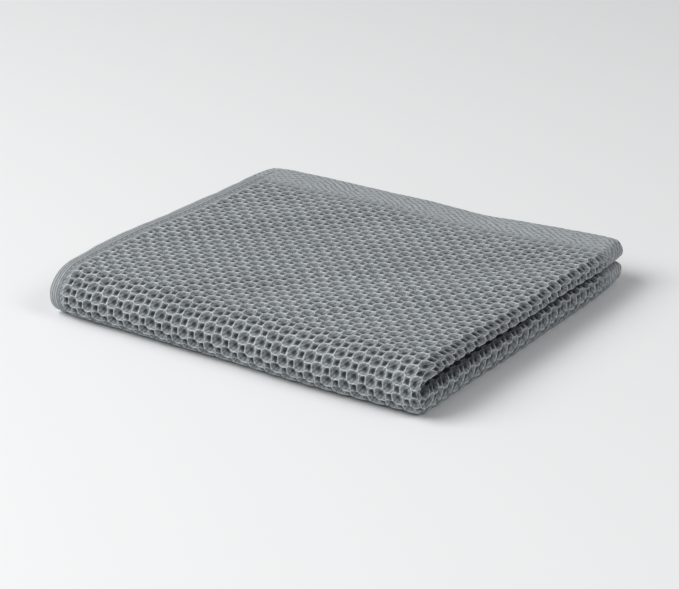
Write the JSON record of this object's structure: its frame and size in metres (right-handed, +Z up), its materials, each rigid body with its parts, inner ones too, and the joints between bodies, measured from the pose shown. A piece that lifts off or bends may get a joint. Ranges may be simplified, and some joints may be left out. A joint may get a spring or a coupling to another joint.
{
  "type": "dishcloth",
  "caption": "Nearly square waffle-weave cotton dishcloth with hemmed edges, folded in half and in half again, lying flat.",
  "frame": {"origin": "middle of the underside of the folded cloth, where it rests on a table", "axes": "+Z up through the layers; X along the round front fold, with the side of the first fold at +X; +Y towards the wide hems, so the round front fold is at -Y"},
  "size_m": [0.1542, 0.1414, 0.0201],
  "materials": {
    "waffle_cotton": "matt grey honeycomb waffle weave with plain-weave hems"
  },
  "bodies": {
    "root": {"cloth": "waffle_cotton"}
  },
  "joints": []
}
